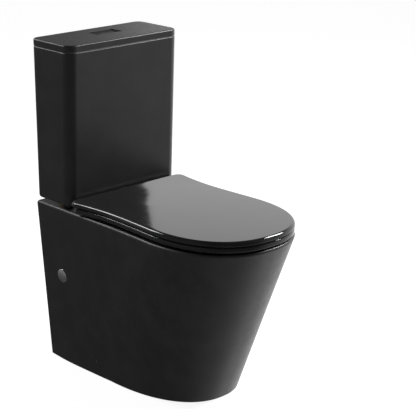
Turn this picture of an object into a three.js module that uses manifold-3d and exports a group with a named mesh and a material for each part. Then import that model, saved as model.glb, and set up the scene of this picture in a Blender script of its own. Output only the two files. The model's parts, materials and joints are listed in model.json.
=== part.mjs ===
// Close coupled, back to wall toilet with a skirted pan, a slim seat and a dual flush cistern.
// Millimetres, +Z up, +X to the right seen from the front, the wall on the +Y side.
// Distances called "depth" are measured from the wall towards the nose of the pan.
import * as THREE from 'three';
import { mergeVertices } from 'three/addons/utils/BufferGeometryUtils.js';
import Module from 'manifold-3d';

const wasm = await Module();
wasm.setup();

// ---------------------------------------------------------------- driving dimensions
const GAP = 0.3;                 // between pieces that touch
const TOTAL_DEPTH = 666;
const WALL_Y = TOTAL_DEPTH / 2;  // the plane that the back of the pan and cistern stand against

const PAN = {
  top: 428, rimEdge: 8, footEdge: 4, wall: 14, deck: 22,
  rim: {
    flank: [[174, 0], [174, 130], [179, 330], [185, 455]],
    nose: 455, length: TOTAL_DEPTH + 2, power: 2.15,
  },
  foot: {
    flank: [[145, 0], [149, 80], [148, 170], [145, 250]],
    nose: 250, length: 499, power: 2.3,
  },
};

const TANK = {
  bottom: 438, top: 822, wall: 10, floor: 12,
  halfWidth: 174, depthBottom: 137, depthTop: 154,
  backCorner: 22, frontCorner: 25,
};

const LID = { bottom: TANK.top + GAP, top: 840, lip: 12 };

const SEAT = {
  back: 143, nose: 448, length: TOTAL_DEPTH, power: 2.28,
  flank: [[181, 167], [174, 215], [169, 300], [176, 448]], backCorner: 20,
  ringBack: 171, ringBottom: 432, ringTop: 445, coverBottom: 447, coverTop: 460,
  hole: { centre: 445, halfWidth: 112, halfLength: 146 },
};

const HINGE = { x: 77.5, depth: 164, z: 452, pinRadius: 3, knuckle: 4.7, hole: 7 };

const BUTTON = { x: 10, depth: 62, length: 78, width: 40, corner: 4, top: 836, split: -14 };

const FLUSH = { depth: 66, bolt: 85, fill: -132 };
const VALVE = { bore: 23, tail: 29, flange: 42, tankHole: 31, disc: 31, tube: 12, cage: 37, column: 24 };
const BOLT = { radius: 4, hole: 5, head: 8, headTop: 9, bottom: 372, washer: 13 };

const OUTLET = { z: 180, radius: 51, bore: 42, end: 14 };

// The way of the water from the cistern to the back of the bowl, under the deck.
const WATER_WAY = {
  top: 398, bottom: 358, halfWidth: 28, chamber: 48, drop: 28, dropBottom: 372,
  wall: 14, depth: [46, 300], outerDepth: [60, 292],
};

const FILL = { top: 735, bore: 5, shank: 10, riser: 11, head: 19, flange: 17, hole: 11, bottom: 372 };
const FLOAT = { bottom: 610, top: 690, radius: 25, linkDepth: [21, 24] };
const LEVER = { rise: 10, pinRadius: 2, halfWidth: 3.5, halfHeight: 2.5, back: 20, front: 27, weight: 8 };

const SIDE_CAP = { depth: 87, z: 244, radius: 17.5, hole: 15 };
const SIDE_SCREW = { depth: 195, z: 42, radius: 4.5, shank: 2.4 };
const BRACKET = { halfWidth: 15, thick: 16, foot: 8, reach: 45 };

const SIDES = [['left', -1], ['right', 1]];

// ---------------------------------------------------------------- materials
const paint = (color, roughness, metalness = 0) =>
  () => new THREE.MeshStandardMaterial({ color, roughness, metalness });
const BLACK_GLAZE = paint(0x1a1b1d, 0.3);
const SEAT_PLASTIC = paint(0x16171a, 0.12);
const BUTTON_PLASTIC = paint(0x131416, 0.35);
const WHITE_PLASTIC = paint(0xe6e6e2, 0.45);
const BLUE_PLASTIC = paint(0x2c5f9e, 0.45);
const GREY_PLASTIC = paint(0x7f8387, 0.5);
const RUBBER = paint(0x26262a, 0.85);
const CHROME = paint(0xc8cacc, 0.12, 1);
const STEEL = paint(0xa4a7aa, 0.3, 1);
const BRASS = paint(0xb58a3c, 0.35, 1);

// ---------------------------------------------------------------- solids
const yAt = (depth) => WALL_Y - depth;

function signedVolume(position, index) {
  const [a, b, c] = [new THREE.Vector3(), new THREE.Vector3(), new THREE.Vector3()];
  let volume = 0;
  for (let i = 0; i < index.length; i += 3) {
    a.fromBufferAttribute(position, index[i]);
    b.fromBufferAttribute(position, index[i + 1]);
    c.fromBufferAttribute(position, index[i + 2]);
    volume += a.dot(b.cross(c)) / 6;
  }
  return volume;
}

// A closed three.js geometry as a manifold solid with its faces pointing out.
function solid(geometry) {
  const bare = geometry.index ? geometry.toNonIndexed() : geometry;
  bare.deleteAttribute('normal');
  bare.deleteAttribute('uv');
  const merged = mergeVertices(bare, 1e-4);
  const { position } = merged.attributes;
  const corners = [];
  for (let i = 0; i < merged.index.count; i += 3) {
    const face = [0, 1, 2].map((k) => merged.index.getX(i + k));
    if (new Set(face).size === 3) corners.push(...face);
  }
  if (signedVolume(position, corners) < 0) corners.reverse();
  return new wasm.Manifold(new wasm.Mesh({
    numProp: 3,
    vertProperties: new Float32Array(position.array),
    triVerts: new Uint32Array(corners),
  }));
}

function geometryOf(shape) {
  const mesh = shape.getMesh();
  const geometry = new THREE.BufferGeometry();
  geometry.setAttribute('position', new THREE.BufferAttribute(mesh.vertProperties, 3));
  geometry.setIndex(new THREE.BufferAttribute(mesh.triVerts, 1));
  geometry.computeVertexNormals();
  return geometry;
}

const join = (...shapes) => shapes.reduce((whole, piece) => whole.add(piece));
const cut = (shape, ...tools) => tools.reduce((whole, tool) => whole.subtract(tool), shape);

function block(x, depth, z) {
  const box = new THREE.BoxGeometry(x[1] - x[0], depth[1] - depth[0], z[1] - z[0]);
  box.translate((x[0] + x[1]) / 2, yAt((depth[0] + depth[1]) / 2), (z[0] + z[1]) / 2);
  return solid(box);
}

// Upright cylinder, or cone where the two radii differ.
function post(radius, z, x, depth, sides = 16, topRadius = radius) {
  const cylinder = new THREE.CylinderGeometry(topRadius, radius, z[1] - z[0], sides);
  cylinder.rotateX(Math.PI / 2);
  cylinder.translate(x, yAt(depth), (z[0] + z[1]) / 2);
  return solid(cylinder);
}

const tube = (outer, inner, z, x, depth, sides = 16) =>
  cut(post(outer, z, x, depth, sides), post(inner, [z[0] - 1, z[1] + 1], x, depth, sides));

// Hexagonal or many-sided nut with a round bore.
const nut = (outer, bore, z, x, depth, flats = 6) =>
  cut(post(outer, z, x, depth, flats), post(bore, [z[0] - 1, z[1] + 1], x, depth));

// Cylinder that lies along X.
function pin(radius, x, depth, z, sides = 16) {
  const cylinder = new THREE.CylinderGeometry(radius, radius, x[1] - x[0], sides);
  cylinder.rotateZ(Math.PI / 2);
  cylinder.translate((x[0] + x[1]) / 2, yAt(depth), z);
  return solid(cylinder);
}

// Cylinder that lies along Y.
function barrel(radius, x, depth, z, sides = 20) {
  const cylinder = new THREE.CylinderGeometry(radius, radius, depth[1] - depth[0], sides);
  cylinder.translate(x, yAt((depth[0] + depth[1]) / 2), z);
  return solid(cylinder);
}

// Body of revolution about the Z axis from [radius, z] points.
function turned(profile, sides = 20) {
  const lathe = new THREE.LatheGeometry(profile.map(([r, z]) => new THREE.Vector2(r, z)), sides);
  lathe.rotateX(Math.PI / 2);
  return lathe;
}

// Round bar along a smooth curve through [x, depth, z] points.
function sweep(points, radius, sides, steps) {
  const places = points.map(([x, depth, z]) => new THREE.Vector3(x, yAt(depth), z));
  const path = new THREE.CatmullRomCurve3(places);
  const section = new THREE.Shape();
  section.absarc(0, 0, radius, 0, 2 * Math.PI);
  const settings = { extrudePath: path, steps, curveSegments: sides / 2 };
  return solid(new THREE.ExtrudeGeometry(section, settings));
}

// Closed solid through a stack of levels { z, outline } whose outlines have equally many points.
function loft(levels) {
  const base = levels[0].outline;
  const steps = levels.length - 1;
  const settings = { depth: steps, steps, bevelEnabled: false };
  const stack = new THREE.ExtrudeGeometry(new THREE.Shape(base), settings);
  const key = (x, y) => `${Math.fround(x)} ${Math.fround(y)}`;
  const indexAt = new Map(base.map((point, i) => [key(point.x, point.y), i]));
  const { position } = stack.attributes;
  for (let v = 0; v < position.count; v += 1) {
    const { z, outline } = levels[Math.round(position.getZ(v))];
    const point = outline[indexAt.get(key(position.getX(v), position.getY(v)))];
    position.setXYZ(v, point.x, point.y, z);
  }
  return solid(stack);
}

// ---------------------------------------------------------------- outlines, anticlockwise from above
function arc(centreX, centreDepth, radius, fromDegrees, steps) {
  return Array.from({ length: steps + 1 }, (_, i) => {
    const angle = THREE.MathUtils.degToRad(fromDegrees + 90 * i / steps);
    const [x, y] = [radius * Math.cos(angle), radius * Math.sin(angle)];
    return new THREE.Vector2(centreX + x, yAt(centreDepth) + y);
  });
}

function roundedRectangle(x, halfWidth, back, front, backCorner, frontCorner, steps = 3) {
  const [left, right] = [x - halfWidth, x + halfWidth];
  return [
    ...arc(left + backCorner, back + backCorner, backCorner, 90, steps),
    ...arc(left + frontCorner, front - frontCorner, frontCorner, 180, steps),
    ...arc(right - frontCorner, front - frontCorner, frontCorner, 270, steps),
    ...arc(right - backCorner, back + backCorner, backCorner, 0, steps),
  ];
}

// Left half and its mirror image: a smooth flank, then a superelliptic nose.
function dShape({ flank, nose, length, power }, backArc = [], flankSteps = 6, noseSteps = 11) {
  const curve = new THREE.SplineCurve(flank.map(([w, depth]) => new THREE.Vector2(-w, yAt(depth))));
  const left = [...backArc, ...curve.getPoints(flankSteps)];
  const width = flank.at(-1)[0];
  for (let i = 1; i <= noseSteps; i += 1) {
    const turn = (Math.PI / 2) * (i / noseSteps);
    const x = -width * Math.cos(turn) ** (2 / power);
    const depth = nose + (length - nose) * Math.sin(turn) ** (2 / power);
    left.push(new THREE.Vector2(i < noseSteps ? x : 0, yAt(depth)));
  }
  const right = left.slice(0, -1).reverse().map((p) => new THREE.Vector2(-p.x, p.y));
  return [...left, ...right];
}

function oval(centre, halfWidth, halfLength, power = 2.3, count = 28) {
  return Array.from({ length: count }, (_, i) => {
    const angle = 2 * Math.PI * i / count;
    const bend = (value) => Math.sign(value) * Math.abs(value) ** (2 / power);
    const [x, y] = [halfWidth * bend(Math.cos(angle)), halfLength * bend(Math.sin(angle))];
    return new THREE.Vector2(x, yAt(centre) + y);
  });
}

// The outline moved inwards by a distance, corner by corner.
function inset(outline, distance) {
  return outline.map((point, i) => {
    const before = outline.at(i - 1);
    const after = outline[(i + 1) % outline.length];
    const inward = (a, b) => new THREE.Vector2(a.y - b.y, b.x - a.x).normalize();
    const [n1, n2] = [inward(before, point), inward(point, after)];
    const mitre = n1.clone().add(n2).multiplyScalar(distance / (1 + n1.dot(n2)));
    return point.clone().add(mitre);
  });
}

const blend = (a, b, t) => a.map((point, i) => point.clone().lerp(b[i], t));

// Levels of a rounded edge of the given radius: upwards at the top, or downwards at the bottom.
function roundedEdge(outlineAt, z, radius, direction, steps = 3) {
  const levels = Array.from({ length: steps }, (_, i) => {
    const turn = (Math.PI / 2) * ((i + 1) / steps);
    const height = z + direction * radius * (Math.sin(turn) - 1);
    return { z: height, outline: inset(outlineAt(height), radius * (1 - Math.cos(turn))) };
  });
  const start = z - direction * radius;
  return [{ z: start, outline: outlineAt(start) }, ...levels];
}

// Slab with the same plan at every height and rounded top and bottom edges.
function slab(outline, bottom, top, bottomEdge, topEdge, steps = 3) {
  const plan = () => outline;
  return loft([
    ...roundedEdge(plan, bottom, bottomEdge, -1, 2).reverse(),
    ...roundedEdge(plan, top, topEdge, 1, steps),
  ]);
}

// ---------------------------------------------------------------- assembly
const toilet = new THREE.Group();

function place(name, shape, makeMaterial) {
  const mesh = new THREE.Mesh(geometryOf(shape), makeMaterial());
  mesh.name = name;
  toilet.add(mesh);
  return mesh;
}

// ---------------------------------------------------------------- pan
const rimOutline = dShape(PAN.rim);
const footOutline = dShape(PAN.foot);
const panOutline = (z) => blend(footOutline, rimOutline, z / PAN.top);

// Where the flank of the pan is, at a depth and height.
function flankWidth(depth, z) {
  const halfWidth = (outline) => {
    const i = outline.findIndex((point) => point.y <= yAt(depth));
    const [p, q] = [outline[i - 1], outline[i]];
    return -THREE.MathUtils.mapLinear(yAt(depth), p.y, q.y, p.x, q.x);
  };
  return THREE.MathUtils.lerp(halfWidth(footOutline), halfWidth(rimOutline), z / PAN.top);
}

// Bowl sections from the opening down to the sump: [z, centre depth, half width, half length].
const BOWL = [
  [PAN.top + 1, 462, 147, 181], [PAN.top - 3, 462, 142, 176], [PAN.top - 10, 462, 140, 174],
  [375, 461, 137, 171], [325, 454, 124, 155], [275, 436, 101, 128], [225, 408, 73, 95],
  [180, 378, 50, 64], [140, 354, 36, 44], [112, 344, 29, 34],
];
const BOWL_WALL = 12;

const BACK_OPENING = { halfWidth: 105, top: 320 };
const TRAP_RADIUS = 29;
const TRAP_OUTSIDE = 39;
const TRAP = [
  [0, 350, 150], [0, 312, 121], [0, 264, 122], [0, 226, 165], [0, 200, 220],
  [0, 164, 246], [0, 126, 224], [0, 98, 190], [0, 66, OUTLET.z], [0, 30, OUTLET.z],
];

function bowl(grow, sections) {
  return loft(sections.toReversed().map(([z, centre, halfWidth, halfLength]) => (
    { z, outline: oval(centre, halfWidth + grow, halfLength + grow) })));
}

function panShell() {
  const outer = loft([
    ...roundedEdge(panOutline, 0, PAN.footEdge, -1, 2).reverse(),
    ...roundedEdge(panOutline, PAN.top, PAN.rimEdge, 1, 3),
  ]);
  const underDeck = PAN.top - PAN.deck;
  const hollow = loft([-1, underDeck].map((z) => ({ z, outline: inset(panOutline(z), PAN.wall) })));
  const { halfWidth, top: openingTop } = BACK_OPENING;
  const backOpening = block([-halfWidth, halfWidth], [-1, PAN.wall + 1], [-1, openingTop]);
  const outerSections = BOWL.slice(2).map(([z, ...rest], i) => (
    [i ? z - BOWL_WALL : PAN.top - 4, ...rest]));
  const wayWidth = WATER_WAY.halfWidth + WATER_WAY.wall;
  const wayZ = [WATER_WAY.bottom - WATER_WAY.wall, underDeck + 2];
  const inside = join(
    bowl(BOWL_WALL, outerSections),
    sweep(TRAP, TRAP_OUTSIDE, 12, 14),
    barrel(OUTLET.radius, 0, [OUTLET.end, 84], OUTLET.z),
    block([-wayWidth, wayWidth], WATER_WAY.outerDepth, wayZ),
    post(WATER_WAY.chamber + WATER_WAY.wall, wayZ, 0, FLUSH.depth, 20),
  ).intersect(outer);
  return cut(outer, hollow, backOpening).add(inside);
}

function pan() {
  const through = [PAN.top - PAN.deck - 4, PAN.top + 1];
  const { top, bottom, halfWidth, chamber, drop, dropBottom, depth } = WATER_WAY;
  const tools = [
    bowl(0, BOWL),
    sweep(TRAP, TRAP_RADIUS, 12, 14),
    barrel(OUTLET.bore, 0, [OUTLET.end - 1, 62], OUTLET.z),
    post(chamber, [top, PAN.top + 1], 0, FLUSH.depth, 20),
    post(drop, [dropBottom, top + 1], 0, FLUSH.depth, 16),
    block([-halfWidth, halfWidth], depth, [bottom, top]),
    post(20, through, FLUSH.fill, FLUSH.depth),
  ];
  for (const [, side] of SIDES) {
    tools.push(post(BOLT.hole, through, side * FLUSH.bolt, FLUSH.depth, 12));
    tools.push(post(HINGE.hole, through, side * HINGE.x, HINGE.depth, 16));
    const reach = side > 0 ? [120, 190] : [-190, -120];
    tools.push(pin(SIDE_CAP.hole, reach, SIDE_CAP.depth, SIDE_CAP.z, 20));
    tools.push(pin(SIDE_SCREW.radius, reach, SIDE_SCREW.depth, SIDE_SCREW.z, 12));
  }
  return cut(panShell(), ...tools);
}

// ---------------------------------------------------------------- cistern tank and lid
function tankOutline(z, thickness = 0) {
  const rise = (z - TANK.bottom) / (TANK.top - TANK.bottom);
  const depth = THREE.MathUtils.lerp(TANK.depthBottom, TANK.depthTop, rise);
  return roundedRectangle(0, TANK.halfWidth - thickness, thickness, depth - thickness,
    TANK.backCorner - thickness, TANK.frontCorner - thickness);
}

function tank() {
  const outer = loft([
    ...roundedEdge(tankOutline, TANK.bottom, 6, -1, 3).reverse(),
    ...roundedEdge(tankOutline, TANK.top, 3, 1, 2),
  ]);
  const cavity = loft([TANK.bottom + TANK.floor, TANK.top + 1].map((z) => (
    { z, outline: tankOutline(z, TANK.wall) })));
  const through = [TANK.bottom - 1, TANK.bottom + TANK.floor + 1];
  return cut(outer, cavity,
    post(VALVE.tankHole, through, 0, FLUSH.depth, 16),
    post(FILL.hole, through, FLUSH.fill, FLUSH.depth, 16),
    ...SIDES.map(([, side]) => post(BOLT.hole, through, side * FLUSH.bolt, FLUSH.depth, 12)));
}

const buttonOutline = (shrink) => roundedRectangle(BUTTON.x, BUTTON.length / 2 - shrink,
  BUTTON.depth - BUTTON.width / 2 + shrink, BUTTON.depth + BUTTON.width / 2 - shrink,
  BUTTON.corner - shrink * 0.6, BUTTON.corner - shrink * 0.6, 2);

const prism = (outline, z) => loft(z.map((height) => ({ z: height, outline })));

function tankLid() {
  const plan = tankOutline(TANK.top);
  const plate = slab(plan, LID.bottom, LID.top, 2.5, 4);
  const lipBottom = LID.bottom - LID.lip;
  const lip = cut(
    prism(inset(plan, TANK.wall + 1.5), [lipBottom, LID.bottom + 1]),
    prism(inset(plan, TANK.wall + 8), [lipBottom - 1, LID.bottom + 2]));
  return cut(join(plate, lip), prism(buttonOutline(0), [lipBottom, LID.top + 1]));
}

// ---------------------------------------------------------------- flush buttons
const HOUSING_BOTTOM = 800;
const RODS = { half: BUTTON.x - 25, full: BUTTON.x + 12 };
const ROD_BOTTOM = 782;
const SHELF = 3;

function buttonHousing() {
  const frame = prism(buttonOutline(0.3), [HOUSING_BOTTOM, BUTTON.top]);
  const well = prism(buttonOutline(2.3), [HOUSING_BOTTOM + SHELF, BUTTON.top + 1]);
  const clampPlan = roundedRectangle(BUTTON.x, 46, BUTTON.depth - 27, BUTTON.depth + 27, 8, 8, 2);
  const clampNut = cut(prism(clampPlan, [803, 809.7]), prism(buttonOutline(1.5), [802, 811]));
  const guideZ = [HOUSING_BOTTOM - 1, HOUSING_BOTTOM + SHELF + 1];
  const guides = Object.values(RODS).map((x) => post(5, guideZ, x, BUTTON.depth, 12));
  return cut(join(frame, clampNut), well, ...guides);
}

// One push button: a cap with a round rod below. The half flush cap slopes down to its outer end.
function flushButton(x, rodX, slope) {
  const [low, high] = [BUTTON.top - 10, BUTTON.top - 0.8];
  const half = BUTTON.width / 2 - 2.8;
  const plan = roundedRectangle((x[0] + x[1]) / 2, (x[1] - x[0]) / 2,
    BUTTON.depth - half, BUTTON.depth + half, 3, 3, 2);
  const cap = slab(plan, low, high, 0.5, 1.2);
  const rod = post(4, [ROD_BOTTOM, low + 1], rodX, BUTTON.depth, 12);
  if (!slope) return join(cap, rod);
  const wedge = new THREE.Shape();
  wedge.moveTo(x[0] - 1, high - slope);
  wedge.lineTo(x[1] - 1.5, high);
  wedge.lineTo(x[1] - 1.5, high + 1);
  wedge.lineTo(x[0] - 1, high + 1);
  const scoop = new THREE.ExtrudeGeometry(wedge, { depth: 50, bevelEnabled: false });
  scoop.rotateX(Math.PI / 2);
  scoop.translate(0, yAt(BUTTON.depth) + 25, 0);
  return cut(join(cap, rod), solid(scoop));
}

function coilSpring(x, depth, z, radius, wire, turns) {
  class Helix extends THREE.Curve {
    getPoint(t, target = new THREE.Vector3()) {
      const angle = 2 * Math.PI * turns * t;
      const height = THREE.MathUtils.lerp(z[0] + wire, z[1] - wire, t);
      return target.set(x + radius * Math.cos(angle), yAt(depth) + radius * Math.sin(angle), height);
    }
  }
  const section = new THREE.Shape();
  section.absarc(0, 0, wire, 0, 2 * Math.PI);
  return solid(new THREE.ExtrudeGeometry(section, {
    extrudePath: new Helix(), steps: turns * 8, curveSegments: 2,
  }));
}

// ---------------------------------------------------------------- flush valve
const TANK_FLOOR = TANK.bottom + TANK.floor;
const VALVE_SEAT = TANK_FLOOR + 12;
const TOWER_TOP = 772;
const CAGE_TOP = 560;
const OVERFLOW_TOP = 735;
const WASHER = 3;

function flushValveBase() {
  const { flange, tail, bore } = VALVE;
  return join(
    tube(flange, bore, [TANK_FLOOR + WASHER + GAP, VALVE_SEAT], 0, FLUSH.depth, 16),
    tube(tail, bore, [400, TANK_FLOOR + 5], 0, FLUSH.depth, 16));
}

function flushValveTower() {
  const low = VALVE_SEAT + GAP;
  const inside = VALVE.column - 4;
  const cage = tube(VALVE.cage, VALVE.cage - 4, [low, CAGE_TOP], 0, FLUSH.depth, 16);
  const windows = [0, 60, 120].map((degrees) => {
    const bar = new THREE.BoxGeometry(100, 20, 60);
    bar.rotateZ(THREE.MathUtils.degToRad(degrees));
    bar.translate(0, yAt(FLUSH.depth), low + 42);
    return solid(bar);
  });
  const column = tube(VALVE.column, inside, [CAGE_TOP - 1, TOWER_TOP - 30], 0, FLUSH.depth, 16);
  const shoulder = tube(VALVE.cage, inside, [CAGE_TOP - 3, CAGE_TOP + 3], 0, FLUSH.depth, 16);
  const headPlan = roundedRectangle(3, 34, FLUSH.depth - 24, FLUSH.depth + 22, 8, 8, 3);
  const head = cut(prism(headPlan, [TOWER_TOP - 32, TOWER_TOP]),
    post(17, [TOWER_TOP - 33, TOWER_TOP - 14], 0, FLUSH.depth, 16),
    ...Object.values(RODS).map((x) => post(6.6, [TOWER_TOP - 22, TOWER_TOP + 1], x, BUTTON.depth, 12)));
  return join(cut(cage, ...windows), shoulder, column, head);
}

// Overflow tube with the seal disc that closes the valve seat.
function flushSealTube() {
  const bore = VALVE.tube;
  const disc = tube(VALVE.disc, bore, [VALVE_SEAT + GAP, VALVE_SEAT + 6], 0, FLUSH.depth, 16);
  const overflow = tube(bore + 3, bore, [VALVE_SEAT + 1, OVERFLOW_TOP], 0, FLUSH.depth, 16);
  return join(disc, overflow);
}

function plunger(x) {
  return join(
    post(6, [TOWER_TOP - 13, TOWER_TOP - 8], x, BUTTON.depth, 12),
    post(4.5, [TOWER_TOP - 9, ROD_BOTTOM - GAP], x, BUTTON.depth, 12));
}

// ---------------------------------------------------------------- fill valve
const LEVER_Z = FILL.top + LEVER.rise;

function fillValve() {
  const { depth, fill: x } = FLUSH;
  const { bore, top } = FILL;
  const spout = cut(block([x + 14, x + 30], [depth - 6, depth + 6], [top - 20, top - 8]),
    block([x + 18, x + 27], [depth - 3, depth + 3], [top - 21, top - 11]));
  const ears = [-6, 6].map((out) => (
    block([x + out - 2, x + out + 2], [depth - 8, depth + 6], [top - 1, LEVER_Z + 5])));
  const body = join(
    tube(FILL.shank, bore, [FILL.bottom, TANK_FLOOR + 8], x, depth),
    tube(FILL.flange, bore, [TANK_FLOOR + WASHER + GAP, TANK_FLOOR + 9], x, depth, 20),
    tube(FILL.riser, bore, [TANK_FLOOR + 8, top - 20], x, depth),
    post(FILL.head, [top - 22, top], x, depth, 20), spout, ...ears);
  return cut(body, pin(LEVER.pinRadius + GAP, [x - 9, x + 9], depth, LEVER_Z, 10));
}

function floatCup() {
  const { bottom, top, radius, linkDepth } = FLOAT;
  const { depth, fill: x } = FLUSH;
  const cup = cut(post(radius, [bottom, top], x, depth),
    tube(radius - 2.5, FILL.riser + 3.5, [bottom - 1, top - 3], x, depth),
    post(FILL.riser + 1, [bottom - 1, top + 1], x, depth));
  const link = block([x - 2, x + 2], linkDepth.map((out) => depth + out), [top - 1, LEVER_Z - 5]);
  return join(cup, link);
}

// Lever over the head of the fill valve, balanced by a weight at its back end.
function floatLever() {
  const { fill, depth } = FLUSH;
  const { halfWidth, halfHeight, back, front, weight } = LEVER;
  const x = [fill - halfWidth, fill + halfWidth];
  return join(
    pin(LEVER.pinRadius, [fill - 8.5, fill + 8.5], depth, LEVER_Z, 10),
    block(x, [depth - back, depth + front], [LEVER_Z - halfHeight, LEVER_Z + halfHeight]),
    block(x, [depth - back, depth - back + weight], [LEVER_Z, LEVER_Z + 3 * halfHeight]));
}

// ---------------------------------------------------------------- seat
const seatBackArc = arc(SEAT.backCorner - SEAT.flank[0][0], SEAT.back + SEAT.backCorner,
  SEAT.backCorner, 90, 4);
const coverOutline = dShape(SEAT, seatBackArc);
const SLOT = [HINGE.x - 9.3, HINGE.x + 18.9];
const DAMPER_RADIUS = 3.7;

const hingeBore = (radius, x) => pin(radius, x, HINGE.depth, HINGE.z, 12);
const mirrored = (x, side) => (side > 0 ? x : [-x[1], -x[0]]);

function seatCover() {
  const slotZ = [SEAT.coverBottom - 1, HINGE.z + HINGE.knuckle + 0.6];
  const tools = [];
  for (const [, side] of SIDES) {
    tools.push(block(mirrored(SLOT, side), [SEAT.back - 2, 185], slotZ));
    tools.push(hingeBore(HINGE.pinRadius + 0.4, mirrored([SLOT[0] - 10, SLOT[1] + 9], side)));
    tools.push(hingeBore(DAMPER_RADIUS + GAP, mirrored([20, SLOT[0] - 9], side)));
  }
  const plan = inset(coverOutline, 16);
  const hollow = cut(prism(plan, [SEAT.coverBottom - 1, SEAT.coverBottom + 6]),
    block([-200, 200], [SEAT.back, 200], [SEAT.coverBottom - 2, SEAT.coverTop]));
  return cut(slab(coverOutline, SEAT.coverBottom, SEAT.coverTop, 2, 5, 4), hollow, ...tools);
}

// Knuckle of the ring that reaches back and up to the hinge pin.
function ringKnuckle(side) {
  const [x0, x1] = mirrored([HINGE.x + 9.3, HINGE.x + 18.3], side);
  const web = new THREE.Shape();
  const sidePoints = [[167.2, 455.4], [183, 445.2], [183, 439], [172, 436], [160.6, 448.9]];
  web.setFromPoints(sidePoints.map(([depth, z]) => new THREE.Vector2(yAt(depth), z)));
  const plate = new THREE.ExtrudeGeometry(web, { depth: x1 - x0, bevelEnabled: false });
  plate.applyMatrix4(new THREE.Matrix4().set(0, 0, 1, x0, 1, 0, 0, 0, 0, 1, 0, 0, 0, 0, 0, 1));
  return join(solid(plate), pin(HINGE.knuckle, [x0, x1], HINGE.depth, HINGE.z, 16));
}

function seatRing() {
  const { centre, halfWidth, halfLength } = SEAT.hole;
  const outer = slab(inset(coverOutline, 1), SEAT.ringBottom, SEAT.ringTop, 3, 4, 3);
  const holeAt = (z, grow) => ({ z, outline: oval(centre, halfWidth + grow, halfLength + grow, 2.2, 32) });
  const hole = loft([
    holeAt(SEAT.ringBottom - 1, 3), holeAt(SEAT.ringBottom + 3, 0), holeAt(SEAT.ringTop - 6, 0),
    holeAt(SEAT.ringTop - 2.5, 1.5), holeAt(SEAT.ringTop + 0.5, 6),
  ]);
  const behind = block([-200, 200], [SEAT.back - 5, SEAT.ringBack],
    [SEAT.ringBottom - 1, SEAT.ringTop + 1]);
  const knuckles = SIDES.map(([, side]) => ringKnuckle(side));
  const bores = SIDES.map(([, side]) => (
    hingeBore(HINGE.pinRadius + GAP, mirrored([HINGE.x + 8, HINGE.x + 20], side))));
  return cut(join(cut(outer, hole, behind), ...knuckles), ...bores);
}

function hingePillar(side) {
  const x = side * HINGE.x;
  const base = PAN.top + GAP;
  const upright = join(
    block([x - 9, x + 9], [HINGE.depth - HINGE.knuckle, HINGE.depth + HINGE.knuckle], [base + 1, HINGE.z]),
    pin(HINGE.knuckle, [x - 9, x + 9], HINGE.depth, HINGE.z, 16));
  const [x0, x1] = mirrored([HINGE.x - 9, HINGE.x + 18.4], side);
  const footPlan = roundedRectangle((x0 + x1) / 2, (x1 - x0) / 2,
    HINGE.depth - 14, HINGE.depth + 14, 5, 5);
  const foot = prism(footPlan, [base, base + 1.6]);
  const stud = post(HINGE.pinRadius, [388, base + 1], x, HINGE.depth, 12);
  return cut(join(upright, foot, stud), hingeBore(HINGE.pinRadius + GAP, [x - 10, x + 10]));
}

const bumper = (x, depth, z, radius) => post(radius, z, x, depth, 14, radius - 0.8);

// ---------------------------------------------------------------- pieces fixed to the pan's flanks
function sideCap(side) {
  const cap = turned([[0, 3.2], [9, 2.7], [15.5, 1.6], [SIDE_CAP.radius, GAP], [14, GAP], [14, -10],
    [12, -10], [12, -1], [0, -1]], 16);
  const lean = Math.atan2(flankWidth(SIDE_CAP.depth, PAN.top) - flankWidth(SIDE_CAP.depth, 0), PAN.top);
  cap.rotateY(Math.PI / 2 + lean);
  const x = flankWidth(SIDE_CAP.depth, SIDE_CAP.z);
  if (side < 0) cap.rotateZ(Math.PI);
  cap.translate(side * x, yAt(SIDE_CAP.depth), SIDE_CAP.z);
  return solid(cap);
}

function sideScrew(side) {
  const x = flankWidth(SIDE_SCREW.depth, SIDE_SCREW.z);
  return join(
    pin(SIDE_SCREW.radius - 0.4, mirrored([x - 6, x - 1.5], side), SIDE_SCREW.depth, SIDE_SCREW.z, 12),
    pin(SIDE_SCREW.shank, mirrored([x - 34, x - 5], side), SIDE_SCREW.depth, SIDE_SCREW.z, 10));
}

function floorBracket(side) {
  const inner = flankWidth(SIDE_SCREW.depth, 0) - PAN.wall - 2;
  const { depth, z, shank } = SIDE_SCREW;
  const { halfWidth, thick, foot, reach } = BRACKET;
  const width = [depth - halfWidth, depth + halfWidth];
  const body = join(
    block(mirrored([inner - thick, inner], side), width, [0, z + 14]),
    block(mirrored([inner - reach, inner - thick + 1], side), width, [0, foot]));
  return cut(body,
    pin(shank + GAP, mirrored([inner - thick - 4, inner + 1], side), depth, z, 10),
    post(3.5, [-1, foot + 1], side * (inner - 30), depth, 12));
}

// ---------------------------------------------------------------- fasteners and seals
function tankBolt(x) {
  return join(
    post(BOLT.radius, [BOLT.bottom, TANK_FLOOR + 4], x, FLUSH.depth, 12),
    post(BOLT.head, [TANK_FLOOR + WASHER + GAP, TANK_FLOOR + BOLT.headTop], x, FLUSH.depth, 6));
}

// Nut with two wings, turned by hand from inside the skirt.
function tankBoltNut(x) {
  const under = PAN.top - PAN.deck;
  const body = join(
    post(11, [under - 12, under - GAP], x, FLUSH.depth, 12),
    block([x - 2.5, x + 2.5], [FLUSH.depth - 19, FLUSH.depth + 19], [under - 15, under - 5]));
  return cut(body, post(BOLT.radius + GAP, [under - 16, under], x, FLUSH.depth, 12));
}

const washerIn = (radius, bore, x) =>
  tube(radius, bore + GAP, [TANK_FLOOR + GAP, TANK_FLOOR + WASHER], x, FLUSH.depth);

const nutUnderTank = (radius, bore, height, x, flats) =>
  nut(radius, bore, [TANK.bottom - height, TANK.bottom - GAP], x, FLUSH.depth, flats);

// ---------------------------------------------------------------- build
place('pan', pan(), BLACK_GLAZE);
place('cistern_tank', tank(), BLACK_GLAZE);
place('tank_lid', tankLid(), BLACK_GLAZE);

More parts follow.
